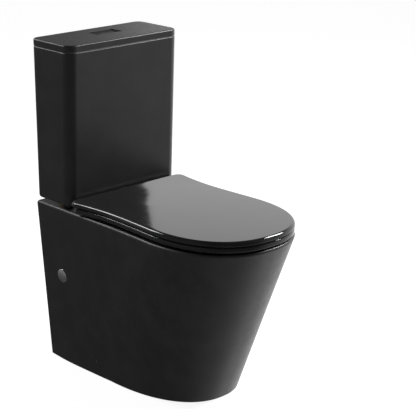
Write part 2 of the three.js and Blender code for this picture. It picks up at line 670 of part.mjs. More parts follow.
place('button_housing', buttonHousing(), BUTTON_PLASTIC);
const buttonSpan = [BUTTON.x - BUTTON.length / 2 + 2.8, BUTTON.x + BUTTON.length / 2 - 2.8];
const splitX = BUTTON.x + BUTTON.split;
place('half_flush_button', flushButton([buttonSpan[0], splitX - 0.4], RODS.half, 7), BUTTON_PLASTIC);
place('full_flush_button', flushButton([splitX + 0.4, buttonSpan[1]], RODS.full, 0), BUTTON_PLASTIC);
for (const [name, x] of Object.entries(RODS)) {
  const springZ = [HOUSING_BOTTOM + SHELF + GAP, BUTTON.top - 10 - GAP];
  place(`${name}_button_spring`, coilSpring(x, BUTTON.depth, springZ, 6.5, 0.7, 4), STEEL);
  place(`${name}_flush_plunger`, plunger(x), BLUE_PLASTIC);
}

const gasketZ = [WATER_WAY.top + GAP, TANK.bottom - GAP];
place('flush_valve_base', flushValveBase(), WHITE_PLASTIC);
place('flush_valve_tower', flushValveTower(), WHITE_PLASTIC);
place('flush_seal_tube', flushSealTube(), BLUE_PLASTIC);
place('flush_valve_washer', washerIn(40, VALVE.tail, 0), RUBBER);
place('flush_valve_nut', nutUnderTank(36, VALVE.tail + 0.4, 14, 0, 12), GREY_PLASTIC);
place('coupling_gasket', tube(46, 37.3, gasketZ, 0, FLUSH.depth, 20), RUBBER);

place('fill_valve', fillValve(), WHITE_PLASTIC);
place('fill_valve_washer', washerIn(16, FILL.shank, FLUSH.fill), RUBBER);
place('fill_valve_nut', nutUnderTank(17, FILL.shank + 0.4, 12, FLUSH.fill, 6), BRASS);
place('float_cup', floatCup(), GREY_PLASTIC);
place('float_lever', floatLever(), BLUE_PLASTIC);

place('seat_ring', seatRing(), SEAT_PLASTIC);
place('seat_cover', seatCover(), SEAT_PLASTIC);

for (const [name, side] of SIDES) {
  const boltX = side * FLUSH.bolt;
  const padZ = [PAN.top + GAP, TANK.bottom - GAP];
  place(`tank_bolt_${name}`, tankBolt(boltX), BRASS);
  place(`tank_bolt_washer_${name}`, washerIn(BOLT.washer, BOLT.radius, boltX), RUBBER);
  place(`tank_bolt_nut_${name}`, tankBoltNut(boltX), BRASS);
  place(`tank_rest_pad_${name}`, post(9, padZ, side * 148, 108, 16), RUBBER);

  const { depth, z, pinRadius } = HINGE;
  const pinX = mirrored([SLOT[0] - 8, SLOT[1] + 8], side);
  const damperX = mirrored([22, SLOT[0] - 9.5], side);
  const plug = tube(6.7, 3.3, [398, PAN.top - GAP], side * HINGE.x, depth, 14);
  place(`hinge_pillar_${name}`, hingePillar(side), CHROME);
  place(`hinge_pin_${name}`, pin(pinRadius, pinX, depth, z, 12), STEEL);
  place(`hinge_damper_${name}`, pin(DAMPER_RADIUS, damperX, depth, z, 12), GREY_PLASTIC);
  place(`hinge_plug_${name}`, plug, RUBBER);
  place(`hinge_nut_${name}`, nut(6, 3.4, [391, 398 - GAP], side * HINGE.x, depth), BRASS);

  const ringGap = [PAN.top + GAP, SEAT.ringBottom - GAP];
  const coverGap = [SEAT.ringTop + GAP, SEAT.coverBottom - GAP];
  place(`ring_bumper_back_${name}`, bumper(side * 150, 340, ringGap, 7), RUBBER);
  place(`ring_bumper_front_${name}`, bumper(side * 128, 560, ringGap, 7), RUBBER);
  place(`cover_bumper_${name}`, bumper(side * 118, 570, coverGap, 6), RUBBER);

  place(`side_cap_${name}`, sideCap(side), CHROME);
  place(`side_screw_${name}`, sideScrew(side), STEEL);
  place(`floor_bracket_${name}`, floorBracket(side), GREY_PLASTIC);
}

export default toilet;
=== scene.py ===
"""Looks of the close coupled toilet: smooth black ware, a polished seat and a soft studio.

Lengths are in millimetres until a mesh is made. "depth" is the distance from the wall.
"""

import json
import math

import bmesh
import bpy
import numpy as np
from mathutils import Matrix, Vector

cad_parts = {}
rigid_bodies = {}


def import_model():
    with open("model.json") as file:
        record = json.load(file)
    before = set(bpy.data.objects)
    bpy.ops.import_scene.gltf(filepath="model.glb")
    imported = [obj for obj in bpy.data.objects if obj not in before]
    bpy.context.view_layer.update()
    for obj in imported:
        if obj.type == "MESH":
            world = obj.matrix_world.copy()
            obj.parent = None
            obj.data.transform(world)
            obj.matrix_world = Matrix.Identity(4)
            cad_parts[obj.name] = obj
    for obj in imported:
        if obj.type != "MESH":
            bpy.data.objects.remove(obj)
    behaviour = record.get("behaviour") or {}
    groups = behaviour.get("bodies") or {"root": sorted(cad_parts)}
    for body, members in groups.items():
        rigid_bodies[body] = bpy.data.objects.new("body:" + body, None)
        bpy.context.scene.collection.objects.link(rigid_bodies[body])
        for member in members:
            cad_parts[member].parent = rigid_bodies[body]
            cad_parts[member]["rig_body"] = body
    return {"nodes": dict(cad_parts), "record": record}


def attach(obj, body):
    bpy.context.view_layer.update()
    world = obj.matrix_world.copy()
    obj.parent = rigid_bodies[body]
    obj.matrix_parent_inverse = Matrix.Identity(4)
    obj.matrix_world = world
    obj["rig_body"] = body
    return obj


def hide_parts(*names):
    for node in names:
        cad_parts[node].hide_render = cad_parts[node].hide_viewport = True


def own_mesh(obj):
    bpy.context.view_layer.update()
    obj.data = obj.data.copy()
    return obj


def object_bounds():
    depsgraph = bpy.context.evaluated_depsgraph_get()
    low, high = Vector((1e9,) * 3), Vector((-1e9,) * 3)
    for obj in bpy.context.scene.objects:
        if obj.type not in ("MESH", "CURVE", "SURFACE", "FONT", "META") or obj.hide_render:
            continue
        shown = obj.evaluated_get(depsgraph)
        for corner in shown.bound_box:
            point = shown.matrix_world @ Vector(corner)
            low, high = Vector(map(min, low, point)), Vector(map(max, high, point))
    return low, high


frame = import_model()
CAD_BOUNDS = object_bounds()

# ---------------------------------------------------------------- driving dimensions
MM = 0.001
WALL_Y = CAD_BOUNDS[1].y / MM
SIDES = (("left", -1), ("right", 1))
GAP = 0.3                        # between pieces that touch

PAN = {"top": 428, "rim_edge": 8, "foot_edge": 4, "wall": 14, "deck": 22, "back_corner": 10}
RIM = {"flank": [(176, 10), (176, 130), (177, 330), (182, 455)],
       "nose": 455, "length": 667.5, "power": 2.18}
FOOT = {"flank": [(146, 10), (150, 80), (148, 170), (145, 250)],
        "nose": 250, "length": 501, "power": 2.3}

TANK = {"bottom": 438, "top": 822, "wall": 10, "floor": 12, "half_width": 174,
        "depth_bottom": 137, "depth_top": 154, "back_corner": 22, "front_corner": 25}
TANK_FLOOR = TANK["bottom"] + TANK["floor"]
LID = {"bottom": 822.3, "top": 840, "lip": 12}

SEAT = {"flank": [(181, 167), (174, 215), (169, 300), (176, 448)],
        "nose": 448, "length": 666, "power": 2.28}
SEAT_BACK = 143
SEAT_CORNER = 20
RING = {"back": 171, "bottom": 432, "top": 445}
COVER = {"bottom": 447, "top": 460, "crown": 1.3, "low_edge": (1.6, 2.2), "high_edge": (9.2, 8.0)}
HOLE = {"centre": 445, "half_width": 112, "half_length": 146, "roll": (8, 11)}

HINGE = {"x": 77.5, "depth": 164, "z": 452, "pin": 3, "knuckle": 4.7}
SLOT = (HINGE["x"] - 9.3, HINGE["x"] + 18.9)

BUTTON = {"x": 10, "depth": 62, "length": 78, "width": 40, "corner": 4, "top": 836, "split": -14}
RODS = {"half": BUTTON["x"] - 25, "full": BUTTON["x"] + 12}
HOUSING_BOTTOM = 800
ROD_BOTTOM = 782

FLUSH = {"depth": 66, "bolt": 85, "fill": -132}
WASHER = 3
VALVE = {"bore": 23, "tail": 29, "flange": 42, "tank_hole": 31, "disc": 31, "tube": 12, "cage": 37,
         "column": 24}
VALVE_SEAT = TANK_FLOOR + 12
TOWER_TOP = 772
CAGE_TOP = 560
OVERFLOW_TOP = 735
FILL = {"top": 735, "bore": 5, "shank": 10, "riser": 11, "head": 19, "flange": 17, "hole": 11,
        "bottom": 372}
FLOAT = {"bottom": 610, "top": 690, "radius": 25, "link": (21, 24)}
LEVER = {"z": 745, "pin": 2, "half_width": 3.5, "half_height": 2.5, "back": 20, "front": 27,
         "weight": 8}

OUTLET = {"z": 180, "radius": 51, "bore": 42, "end": 14}
SIDE_CAP = {"depth": 87, "z": 244, "radius": 17.5}
SIDE_SCREW = {"depth": 195, "z": 42, "radius": 4.5}

# Bowl sections from the opening down to the sump: z, centre depth, half width, half length.
BOWL = [(418, 462, 140, 174), (375, 461, 137, 171), (325, 454, 124, 155), (275, 436, 101, 128),
        (225, 408, 73, 95), (180, 378, 50, 64), (140, 354, 36, 44), (112, 344, 29, 34)]
BOWL_LIP = 8
WATER_WAY = {"top": 398, "bottom": 358, "half_width": 28, "chamber": 48, "drop": 28, "wall": 14,
             "end": 300, "outer": (60, 292)}
TRAP_RADIUS = 29
TRAP_OUTSIDE = 39
BACK_OPENING = {"half_width": 105, "top": 320}
BOLT_HOLE = 5
HINGE_HOLE = 7
FILL_HOLE = 20
SIDE_CAP_HOLE = 15
BOWL_WALL = 13
TRAP = [(0, 350, 150), (0, 312, 121), (0, 264, 122), (0, 226, 165), (0, 200, 220),
        (0, 164, 246), (0, 126, 224), (0, 98, 190), (0, 66, 180), (0, 30, 180)]

SHARP_ANGLE = math.radians(34)


# ---------------------------------------------------------------- outlines, anticlockwise from above
def y_at(depth):
    return WALL_Y - depth


def arc(x, depth, radius, start, steps):
    angles = np.radians(start + 90 * np.arange(steps + 1) / steps)
    return np.column_stack([x + radius * np.cos(angles), y_at(depth) + radius * np.sin(angles)])


def rounded_rectangle(x, half_width, back, front, back_corner, front_corner, steps=10):
    left, right = x - half_width, x + half_width
    return np.vstack([
        arc(left + back_corner, back + back_corner, back_corner, 90, steps),
        arc(left + front_corner, front - front_corner, front_corner, 180, steps),
        arc(right - front_corner, front - front_corner, front_corner, 270, steps),
        arc(right - back_corner, back + back_corner, back_corner, 0, steps),
    ])


def smooth_rows(rows, steps):
    """Catmull-Rom interpolation through rows of numbers, `steps` samples to each gap."""
    rows = np.asarray(rows, float)
    padded = np.vstack([rows[:1], rows, rows[-1:]])
    t = np.arange(steps)[:, None] / steps
    out = []
    for k in range(len(rows) - 1):
        before, a, b, after = padded[k:k + 4]
        leave, arrive = (b - before) / 2, (after - a) / 2
        out.append((2 * a - 2 * b + leave + arrive) * t ** 3
                   + (3 * b - 3 * a - 2 * leave - arrive) * t ** 2 + leave * t + a)
    return np.vstack([*out, rows[-1:]])


def d_shape(spec, back_arc, flank_steps=14, nose_steps=64):
    """Rounded back corner, smooth flank and superelliptic nose, with the mirrored other half."""
    flank = smooth_rows(spec["flank"], flank_steps)
    flank = np.column_stack([-flank[:, 0], y_at(flank[:, 1])])
    width, nose, power = spec["flank"][-1][0], spec["nose"], spec["power"]
    turn = np.radians(90 * np.arange(1, nose_steps + 1) / nose_steps)
    x = -width * np.clip(np.cos(turn), 0, 1) ** (2 / power)
    depth = nose + (spec["length"] - nose) * np.sin(turn) ** (2 / power)
    x[-1] = 0
    left = np.vstack([back_arc, flank, np.column_stack([x, y_at(depth)])])
    return np.vstack([left, left[-2::-1] * (-1, 1)])


def oval(centre, half_width, half_length, power=2.3, count=128):
    angle = 2 * math.pi * np.arange(count) / count
    across, along = np.cos(angle), np.sin(angle)
    return np.column_stack([half_width * np.sign(across) * np.abs(across) ** (2 / power),
                            y_at(centre) + half_length * np.sign(along) * np.abs(along) ** (2 / power)])


def inset(outline, distance):
    """The outline moved inwards, corner by corner."""
    def inward(a, b):
        step = b - a
        return np.column_stack([-step[:, 1], step[:, 0]]) / np.hypot(step[:, 0], step[:, 1])[:, None]
    before = inward(np.roll(outline, 1, 0), outline)
    after = inward(outline, np.roll(outline, -1, 0))
    mitre = (before + after) / (1 + (before * after).sum(1))[:, None]
    return outline + distance * mitre


def rounded_edge(plan, z, drop, reach, way, steps=8):
    """Levels of an elliptical edge: it starts `drop` before z and ends `reach` inwards at z.

    plan is an outline, or a function that gives the outline at a height. way is 1 for a top edge.
    """
    levels = []
    for turn in np.radians(90 * np.arange(steps + 1) / steps):
        height = z + way * drop * (math.sin(turn) - 1)
        outline = plan(height) if callable(plan) else plan
        levels.append((height, inset(outline, reach * (1 - math.cos(turn)))))
    return levels


def rounded_ends(plan, z, low_edge, high_edge, low_steps=4, high_steps=8):
    """Levels of a solid with both ends rounded. An edge is its (drop, reach)."""
    return [*reversed(rounded_edge(plan, z[0], *low_edge, -1, low_steps)),
            *rounded_edge(plan, z[1], *high_edge, 1, high_steps)]


# ---------------------------------------------------------------- solids
def mesh_object(vertices, faces):
    mesh = bpy.data.meshes.new("solid")
    mesh.from_pydata((np.asarray(vertices) * MM).tolist(), [], faces)
    made = bpy.data.objects.new("solid", mesh)
    bpy.context.scene.collection.objects.link(made)
    return made


def skin(rings):
    """Closed solid through rings of equally many points. A ring of one repeated point is a tip."""
    count = len(rings[0])
    faces = []
    for k in range(len(rings) - 1):
        for i in range(count):
            j = (i + 1) % count
            low, high = k * count, (k + 1) * count
            faces.append((low + i, low + j, high + j, high + i))
    faces.append(tuple(reversed(range(count))))
    faces.append(tuple(range((len(rings) - 1) * count, len(rings) * count)))
    return mesh_object(np.vstack(rings), faces)


def loft(levels):
    return skin([np.column_stack([outline, np.full(len(outline), float(z))]) for z, outline in levels])


def prism(outline, low, high):
    return loft([(low, outline), (high, outline)])


def slab(outline, low, high, low_edge, high_edge):
    return loft(rounded_ends(outline, (low, high), (low_edge, low_edge), (high_edge, high_edge)))


def block(x, depth, z):
    back, front = y_at(depth[0]), y_at(depth[1])
    return prism(np.array([(x[0], back), (x[0], front), (x[1], front), (x[1], back)]), *z)


def circle(x, depth, radius, count=48):
    angle = 2 * math.pi * np.arange(count) / count
    return np.column_stack([x + radius * np.cos(angle), y_at(depth) + radius * np.sin(angle)])


def turned(profile, origin, axis=(0, 0, 1), count=48):
    """Body of revolution from (radius, height) points, lowest on the axis first, about a line."""
    angle = 2 * math.pi * np.arange(count) / count
    rings = [np.column_stack([r * np.cos(angle), r * np.sin(angle), np.full(count, float(h))])
             for r, h in profile]
    made = skin(rings)
    turn = Vector(axis).to_track_quat("Z", "Y").to_matrix().to_4x4()
    place = Matrix.Translation(Vector((origin[0], y_at(origin[1]), origin[2])) * MM)
    made.data.transform(place @ turn)
    return made


def post(radius, z, x, depth, count=48):
    return prism(circle(x, depth, radius, count), *z)


def pin(radius, x, depth, z, count=40):
    return turned([(radius, 0), (radius, x[1] - x[0])], (x[0], depth, z), (1, 0, 0), count)


def barrel(radius, x, depth, z, count=64):
    return turned([(radius, 0), (radius, depth[1] - depth[0])], (x, depth[0], z), (0, -1, 0), count)


def sweep(points, radius, count=32, steps=8):
    """Round bar along a smooth curve through (x, depth, z) points."""
    line = smooth_rows(points, steps)
    line[:, 1] = y_at(line[:, 1])
    ahead = np.gradient(line, axis=0)
    side = Vector((1, 0, 0))
    rings = []
    for centre, way in zip(line, ahead):
        forward = Vector(way).normalized()
        side = (side - forward * side.dot(forward)).normalized()
        up = np.array(forward.cross(side))
        angle = 2 * math.pi * np.arange(count)[:, None] / count
        rings.append(centre + radius * (np.cos(angle) * np.array(side) + np.sin(angle) * up))
    return skin(rings)


def combine(base, operation, *tools):
    """Boolean of the base with each tool in turn. The tools are used up."""
    for tool in tools:
        change = base.modifiers.new("combine", "BOOLEAN")
        change.operation, change.solver, change.object = operation, "MANIFOLD", tool
    bpy.context.view_layer.update()
    graph = bpy.context.evaluated_depsgraph_get()
    mesh = bpy.data.meshes.new_from_object(base.evaluated_get(graph))
    base.modifiers.clear()
    old, base.data = base.data, mesh
    bpy.data.meshes.remove(old)
    for tool in tools:
        remove(tool)
    return base


def remove(thing):
    mesh = thing.data
    bpy.data.objects.remove(thing)
    bpy.data.meshes.remove(mesh)


def cut(base, *tools):
    return combine(base, "DIFFERENCE", *tools)


def join(base, *tools):
    return combine(base, "UNION", *tools)


def mirrored(x, side):
    return x if side > 0 else (-x[1], -x[0])


# ---------------------------------------------------------------- shader helpers
class Nodes:
    """A node tree with short calls for the nodes used here."""

    def __init__(self, tree):
        self.tree = tree
        tree.nodes.clear()

    def add(self, kind, inputs=None, **settings):
        node = self.tree.nodes.new(kind)
        for name, value in settings.items():
            setattr(node, name, value)
        for socket, value in (inputs or {}).items():
            self.set(node.inputs[socket], value)
        return node

    def set(self, socket, value):
        if isinstance(value, bpy.types.NodeSocket):
            self.tree.links.new(value, socket)
        else:
            socket.default_value = value

    def math(self, operation, a, b=0.0):
        return self.add("ShaderNodeMath", {0: a, 1: b}, operation=operation).outputs[0]

    def dot(self, a, b):
        return self.add("ShaderNodeVectorMath", {0: a, 1: b}, operation="DOT_PRODUCT").outputs["Value"]

    def ramp(self, value, low, high, to_low=0.0, to_high=1.0, smooth=True):
        return self.add("ShaderNodeMapRange", {"Value": value, "From Min": low, "From Max": high,
                                               "To Min": to_low, "To Max": to_high},
                        interpolation_type="SMOOTHSTEP" if smooth else "LINEAR").outputs["Result"]

    def noise(self, vector, scale, detail=3.0, roughness=0.5):
        return self.add("ShaderNodeTexNoise", {"Vector": vector, "Scale": scale, "Detail": detail,
                                               "Roughness": roughness}).outputs["Fac"]

    def mix(self, factor, a, b):
        node = self.add("ShaderNodeMix", {"Factor": factor}, data_type="RGBA")
        self.set(node.inputs[6], a)
        self.set(node.inputs[7], b)
        return node.outputs[2]


def rgb(r, g=None, b=None):
    return (r, r if g is None else g, r if b is None else b, 1.0)


def surface(name, dark, light, roughness, peel, metallic=0.0, ior=1.5, spread=18.0, specks=0.0):
    """Principled material with mottled colour, uneven gloss and a fine skin of bumps.

    roughness is (least, most); peel is [(scale per metre, height in mm), ...].
    """
    material = bpy.data.materials.new(name)
    material.use_nodes = True
    n = Nodes(material.node_tree)
    place = n.add("ShaderNodeTexCoord").outputs["Object"]
    mottle = n.noise(place, spread, 5.0, 0.6)
    colour = n.mix(n.ramp(mottle, 0.3, 0.7), dark, light)
    if specks:
        cells = n.add("ShaderNodeTexVoronoi", {"Vector": place, "Scale": 260.0}).outputs["Distance"]
        colour = n.mix(n.ramp(cells, 0.10, 0.02, 0.0, specks), colour, rgb(0.09))
    gloss = n.noise(place, spread * 3.7, 4.0, 0.55)
    shader = n.add("ShaderNodeBsdfPrincipled", {
        "Base Color": colour, "Metallic": metallic, "IOR": ior,
        "Roughness": n.ramp(gloss, 0.25, 0.75, *roughness)})
    bump = None
    for scale, height in peel:
        inputs = {"Height": n.noise(place, scale, 2.0, 0.5), "Strength": 1.0, "Distance": height * MM}
        if bump:
            inputs["Normal"] = bump
        bump = n.add("ShaderNodeBump", inputs).outputs["Normal"]
    if bump:
        n.set(shader.inputs["Normal"], bump)
    n.add("ShaderNodeOutputMaterial", {"Surface": shader.outputs[0]})
    return material


GLAZE = surface("black_glaze", rgb(0.0095, 0.0096, 0.0100), rgb(0.0135, 0.0136, 0.0140),
                (0.34, 0.42), [(9.0, 0.5), (380.0, 0.012)], specks=0.25)
SEAT_SHELL = surface("seat_shell", rgb(0.0075, 0.0077, 0.0082), rgb(0.0105, 0.0107, 0.0112),
                     (0.045, 0.065), [(14.0, 0.05), (420.0, 0.0012)])
BUTTON_SKIN = surface("button_skin", rgb(0.008), rgb(0.012), (0.45, 0.55), [(900.0, 0.01)],
                      ior=1.35)
CHROME = surface("chrome", rgb(0.78, 0.79, 0.80), rgb(0.88, 0.88, 0.89), (0.14, 0.24),
                 [(300.0, 0.004)], metallic=1.0)
STEEL = surface("steel", rgb(0.42, 0.43, 0.44), rgb(0.52), (0.28, 0.40), [(500.0, 0.01)], metallic=1.0)
BRASS = surface("brass", rgb(0.55, 0.40, 0.16), rgb(0.66, 0.50, 0.24), (0.25, 0.40),
                [(500.0, 0.01)], metallic=1.0)
RUBBER = surface("rubber", rgb(0.020), rgb(0.032), (0.62, 0.78), [(700.0, 0.03)])
WHITE = surface("white_plastic", rgb(0.70, 0.70, 0.67), rgb(0.78, 0.78, 0.76), (0.36, 0.46),
                [(600.0, 0.01)])
BLUE = surface("blue_plastic", rgb(0.035, 0.10, 0.27), rgb(0.05, 0.13, 0.33), (0.36, 0.46),
               [(600.0, 0.01)])
GREY = surface("grey_plastic", rgb(0.19, 0.20, 0.21), rgb(0.25, 0.26, 0.27), (0.40, 0.52),
               [(600.0, 0.01)])
SLOT_MATERIALS = {
    "black_glaze": GLAZE, "seat_plastic": SEAT_SHELL, "button_plastic": BUTTON_SKIN,
    "white_plastic": WHITE, "blue_plastic": BLUE, "grey_plastic": GREY, "rubber": RUBBER,
    "chrome": CHROME, "steel": STEEL, "brass": BRASS,
}


# ---------------------------------------------------------------- pieces
def finish_mesh(thing):
    """Smooth faces with sharp edges where the surface really turns."""
    work = bmesh.new()
    work.from_mesh(thing.data)
    bmesh.ops.remove_doubles(work, verts=work.verts, dist=1e-6)
    bmesh.ops.dissolve_degenerate(work, dist=1e-7, edges=work.edges)
    for face in work.faces:
        face.smooth = True
    for edge in work.edges:
        edge.smooth = edge.is_manifold and edge.calc_face_angle(0) < SHARP_ANGLE
    work.to_mesh(thing.data)
    work.free()
    weighted = thing.modifiers.new("weighted", "WEIGHTED_NORMAL")
    weighted.keep_sharp = True
    weighted.weight = 50


def piece(name, thing, node):
    """Names the finished mesh, which stands for a CAD node, and gives it that node's body and slot."""
    finish_mesh(thing)
    thing.name = name
    thing.data.name = name
    slot = SLOT_OF[node]
    thing.data.materials.clear()
    thing.data.materials.append(SLOT_MATERIALS[slot])
    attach(thing, frame["nodes"][node]["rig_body"])
    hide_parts(node)
    return thing


SLOT_OF = {row["node"]: row["material_slot"] for row in frame["record"]["subparts"]}


# ---------------------------------------------------------------- pan
def d_outline(spec):
    corner = PAN["back_corner"]
    return d_shape(spec, arc(-(spec["flank"][0][0] - corner), corner, corner, 90, 8)[:-1])


RIM_OUTLINE = d_outline(RIM)
FOOT_OUTLINE = d_outline(FOOT)


def pan_outline(z):
    return FOOT_OUTLINE + (RIM_OUTLINE - FOOT_OUTLINE) * (z / PAN["top"])


def flank_width(depth, z):
    """Half width of the pan at a depth and height."""
    outline = pan_outline(z)
    left = outline[:len(outline) // 2]
    return -np.interp(-y_at(depth), -left[:, 1], left[:, 0])


def bowl_solid(grow, sections):
    return loft([(z, oval(centre, w + grow, l + grow)) for z, centre, w, l in reversed(sections)])


def bowl_sections():
    """The bowl from above its rolled lip down to the sump."""
    top, rows = PAN["top"], smooth_rows(BOWL, 6)
    _, centre, width, length = BOWL[0]
    lip = []
    for turn in np.radians(np.arange(0, 91, 11.25)):
        out = BOWL_LIP * (1 - math.sin(turn))
        lip.append((top - BOWL_LIP * (1 - math.cos(turn)), centre, width + out, length + out))
    over = (top + 1, centre, width + BOWL_LIP, length + BOWL_LIP)
    return [over, *lip, *[tuple(row) for row in rows if row[0] < top - BOWL_LIP - 0.5]]


def make_pan():
    top, wall = PAN["top"], PAN["wall"]
    under_deck = top - PAN["deck"]
    levels = [*reversed(rounded_edge(pan_outline, 0, PAN["foot_edge"], PAN["foot_edge"], -1, 5))]
    levels += [(z, pan_outline(z)) for z in np.linspace(20, 400, 20)]
    levels += rounded_edge(pan_outline, top, PAN["rim_edge"], PAN["rim_edge"], 1, 10)
    outer = loft(levels)
    clip = loft(levels)
    hollow = loft([(z, inset(pan_outline(z), wall)) for z in (-1, under_deck)])
    half = BACK_OPENING["half_width"]
    back_opening = block((-half, half), (-1, wall + 1), (-1, BACK_OPENING["top"]))
    way, way_wall = WATER_WAY, WATER_WAY["wall"]
    way_half, way_z = way["half_width"] + way_wall, (way["bottom"] - way_wall, under_deck + 2)
    sections = [(z - BOWL_WALL if k else top - 4, c, w, l) for k, (z, c, w, l) in enumerate(BOWL)]
    inside = join(
        bowl_solid(BOWL_WALL, [tuple(row) for row in smooth_rows(sections, 4)]),
        sweep(TRAP, TRAP_OUTSIDE),
        barrel(OUTLET["radius"], 0, (OUTLET["end"], 84), OUTLET["z"]),
        block((-way_half, way_half), way["outer"], way_z),
        post(way["chamber"] + way_wall, way_z, 0, FLUSH["depth"]))
    inside = combine(inside, "INTERSECT", clip)
    body = join(cut(outer, hollow, back_opening), inside)
    through = (under_deck - 4, top + 1)
    tools = [
        bowl_solid(0, bowl_sections()),
        sweep(TRAP, TRAP_RADIUS),
        barrel(OUTLET["bore"], 0, (OUTLET["end"] - 1, 62), OUTLET["z"]),
        post(way["chamber"], (way["top"], top + 1), 0, FLUSH["depth"]),
        post(way["drop"], (way["bottom"] + way_wall, way["top"] + 1), 0, FLUSH["depth"]),
        block((-way["half_width"], way["half_width"]), (FLUSH["depth"] - 20, way["end"]),
              (way["bottom"], way["top"])),
        post(FILL_HOLE, through, FLUSH["fill"], FLUSH["depth"]),
    ]
    for _, side in SIDES:
        reach = mirrored((120, 190), side)
        tools += [
            post(BOLT_HOLE, through, side * FLUSH["bolt"], FLUSH["depth"]),
            post(HINGE_HOLE, through, side * HINGE["x"], HINGE["depth"]),
            pin(SIDE_CAP_HOLE, reach, SIDE_CAP["depth"], SIDE_CAP["z"]),
            pin(SIDE_SCREW["radius"], reach, SIDE_SCREW["depth"], SIDE_SCREW["z"]),
        ]
    piece("pan_ware", cut(body, *tools), "pan")


# ---------------------------------------------------------------- cistern
def tank_outline(z, thickness=0.0):
    rise = (z - TANK["bottom"]) / (TANK["top"] - TANK["bottom"])
    depth = TANK["depth_bottom"] + (TANK["depth_top"] - TANK["depth_bottom"]) * rise
    return rounded_rectangle(0, TANK["half_width"] - thickness, thickness, depth - thickness,
                             TANK["back_corner"] - thickness, TANK["front_corner"] - thickness)


def make_tank():
    low, high = TANK["bottom"], TANK["top"]
    floor = low + TANK["floor"]
    outer = loft(rounded_ends(tank_outline, (low, high), (6, 6), (3, 3), low_steps=8))
    cavity = loft([(z, tank_outline(z, TANK["wall"])) for z in (floor, high + 1)])
    through = (low - 1, floor + 1)
    holes = [post(VALVE["tank_hole"], through, 0, FLUSH["depth"]),
             post(FILL["hole"], through, FLUSH["fill"], FLUSH["depth"])]
    holes += [post(BOLT_HOLE, through, side * FLUSH["bolt"], FLUSH["depth"]) for _, side in SIDES]
    piece("tank_ware", cut(outer, cavity, *holes), "cistern_tank")


def button_outline(shrink):
    corner = BUTTON["corner"] - shrink * 0.6
    half = BUTTON["width"] / 2 - shrink
    return rounded_rectangle(BUTTON["x"], BUTTON["length"] / 2 - shrink, BUTTON["depth"] - half,
                             BUTTON["depth"] + half, corner, corner, 6)


def make_lid():
    plan = tank_outline(TANK["top"])
    low, high, lip_low = LID["bottom"], LID["top"], LID["bottom"] - LID["lip"]
    plate = slab(plan, low, high, 2.5, 4)
    lip = cut(prism(inset(plan, TANK["wall"] + 1.5), lip_low, low + 1),
              prism(inset(plan, TANK["wall"] + 8), lip_low - 1, low + 2))
    edge = 1.2
    hole = loft([(lip_low, button_outline(0)), (high - edge, button_outline(0)),
                 (high - edge * 0.3, button_outline(-edge * 0.3)), (high, button_outline(-edge)),
                 (high + 1, button_outline(-edge))])
    piece("lid_ware", cut(join(plate, lip), hole), "tank_lid")


def make_housing():
    top = BUTTON["top"]
    shell = prism(button_outline(0.3), HOUSING_BOTTOM, top)
    well = prism(button_outline(2.3), HOUSING_BOTTOM + 3, top + 1)
    depth = BUTTON["depth"]
    clamp_plan = rounded_rectangle(BUTTON["x"], 46, depth - 27, depth + 27, 8, 8)
    clamp = cut(prism(clamp_plan, 803, 809.7), prism(button_outline(1.5), 802, 811))
    guides = [post(5, (HOUSING_BOTTOM - 1, HOUSING_BOTTOM + 4), x, depth) for x in RODS.values()]
    piece("button_frame", cut(join(shell, clamp), well, *guides), "button_housing")


def make_button(name, node, x, rod_x, slope):
    low, high, depth = BUTTON["top"] - 10, BUTTON["top"] - 0.8, BUTTON["depth"]
    plan = rounded_rectangle((x[0] + x[1]) / 2, (x[1] - x[0]) / 2, depth - 17.2, depth + 17.2, 3, 3, 6)
    cap = slab(plan, low, high, 0.5, 1.2)
    button = join(cap, post(4, (ROD_BOTTOM, low + 1), rod_x, depth))
    if slope:
        side = [(x[0] - 1, high - slope), (x[1] - 1.5, high), (x[1] - 1.5, high + 1), (x[0] - 1, high + 1)]
        ends = (y_at(depth) + 25, y_at(depth) - 25)
        button = cut(button, skin([np.array([(px, y, pz) for px, pz in side]) for y in ends]))
    piece(name, button, node)


def make_buttons():
    ends = (BUTTON["x"] - BUTTON["length"] / 2 + 2.8, BUTTON["x"] + BUTTON["length"] / 2 - 2.8)
    split = BUTTON["x"] + BUTTON["split"]
    make_button("half_button", "half_flush_button", (ends[0], split - 0.4), RODS["half"], 7)
    make_button("full_button", "full_flush_button", (split + 0.4, ends[1]), RODS["full"], 0)


# ---------------------------------------------------------------- seat
SEAT_OUTLINE = d_shape(SEAT, arc(-(SEAT["flank"][0][0] - SEAT_CORNER), SEAT_BACK + SEAT_CORNER,
                                 SEAT_CORNER, 90, 10))


def hinge_bore(radius, x):
    return pin(radius, x, HINGE["depth"], HINGE["z"], 32)


def crowned_top(outline, z, crown):
    """Rings from the outline to the middle of a gently domed face."""
    middle = np.array([0, y_at(400)])
    reach = np.array([175.0, 270.0])
    rings = []
    for share in (1, 0.97, 0.9, 0.8, 0.68, 0.55, 0.42, 0.3, 0.18, 0.08, 0.02):
        flat = middle + share * (outline - middle)
        edge = np.clip((((flat - middle) / reach) ** 2).sum(1), 0, 1.2)
        rings.append(np.column_stack([flat, z - crown * edge]))
    return rings


